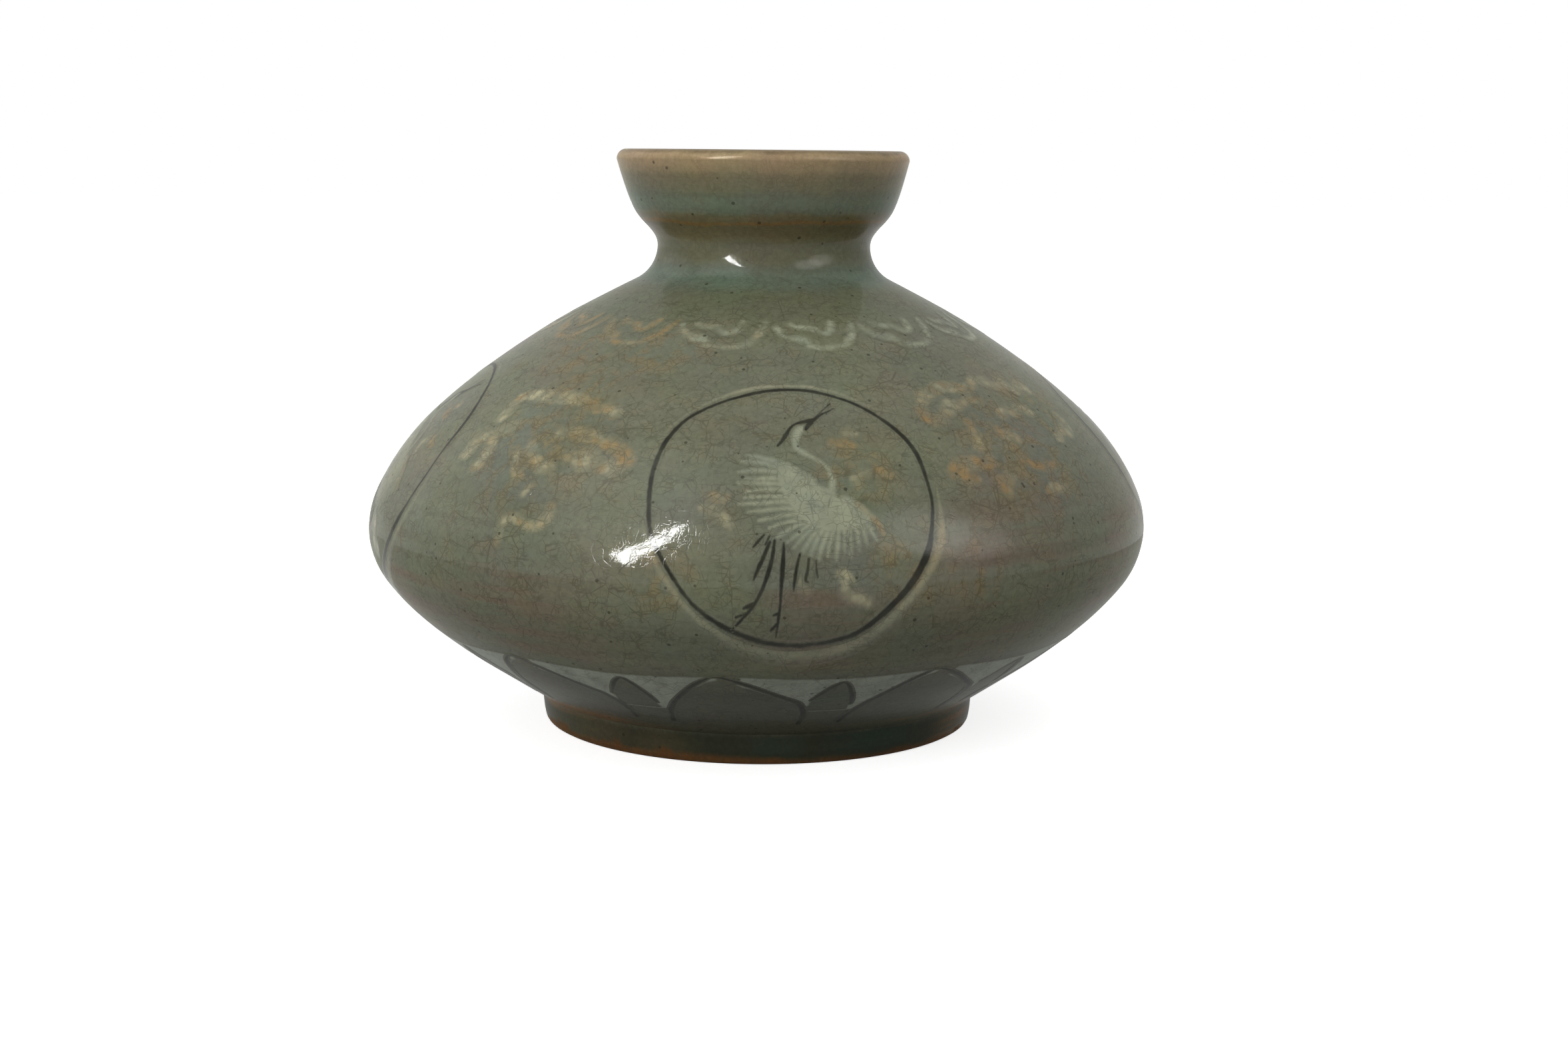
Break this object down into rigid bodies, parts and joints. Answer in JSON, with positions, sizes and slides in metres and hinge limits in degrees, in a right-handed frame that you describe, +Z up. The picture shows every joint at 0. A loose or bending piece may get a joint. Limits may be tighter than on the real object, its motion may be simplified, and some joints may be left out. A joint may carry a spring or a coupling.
{
  "type": "oil bottle",
  "caption": "Squat celadon oil bottle: broad round belly, waisted neck, flared cup mouth, foot ring; inlaid cranes in roundels, clouds, lappet collar and lotus petals under grey-green glaze.",
  "frame": {"origin": "centre of the standing edge of the foot ring, on the surface it stands on", "axes": "+Z up along the bottle's axis, -Y towards the viewer of the picture, +X to the viewer's right"},
  "size_m": [0.11, 0.11, 0.081],
  "materials": {
    "celadon_clay": "grey-green celadon glaze, glossy, with fine crackle and iron specks",
    "foot_clay": "thin glaze that breaks to bare brown clay at the standing edge",
    "white_inlay": "white slip clay under the glaze",
    "stained_inlay": "white slip clay stained orange-brown under the glaze",
    "black_inlay": "black slip clay under the glaze"
  },
  "bodies": {
    "root": {"foot_ring": "foot_clay", "lower_body": "celadon_clay", "upper_body": "celadon_clay", "neck_collar": "celadon_clay", "mouth_cup": "celadon_clay", "ring_front": "black_inlay", "halo_front": "white_inlay", "crane_front": "white_inlay", "crane_lines_front": "black_inlay", "wisps_front": "stained_inlay", "ring_right": "black_inlay", "halo_right": "white_inlay", "crane_right": "white_inlay", "crane_lines_right": "black_inlay", "wisps_right": "stained_inlay", "ring_back": "black_inlay", "halo_back": "white_inlay", "crane_back": "white_inlay", "crane_lines_back": "black_inlay", "wisps_back": "stained_inlay", "ring_left": "black_inlay", "halo_left": "white_inlay", "crane_left": "white_inlay", "crane_lines_left": "black_inlay", "wisps_left": "stained_inlay", "cloud_1": "stained_inlay", "cloud_2": "stained_inlay", "cloud_3": "stained_inlay", "cloud_4": "stained_inlay", "lappet_1": "white_inlay", "lappet_2": "white_inlay", "lappet_3": "white_inlay", "lappet_4": "white_inlay", "lappet_5": "white_inlay", "lappet_6": "white_inlay", "lappet_7": "white_inlay", "lappet_8": "white_inlay", "lappet_9": "white_inlay", "lappet_10": "white_inlay", "lappet_11": "white_inlay", "lappet_12": "white_inlay", "lappet_13": "white_inlay", "lappet_14": "white_inlay", "petal_1": "black_inlay", "petal_2": "black_inlay", "petal_3": "black_inlay", "petal_4": "black_inlay", "petal_5": "black_inlay", "petal_6": "black_inlay", "petal_7": "black_inlay", "petal_8": "black_inlay", "petal_9": "black_inlay", "petal_10": "black_inlay", "lotus_tips": "black_inlay", "lotus_ground": "white_inlay"}
  },
  "joints": []
}
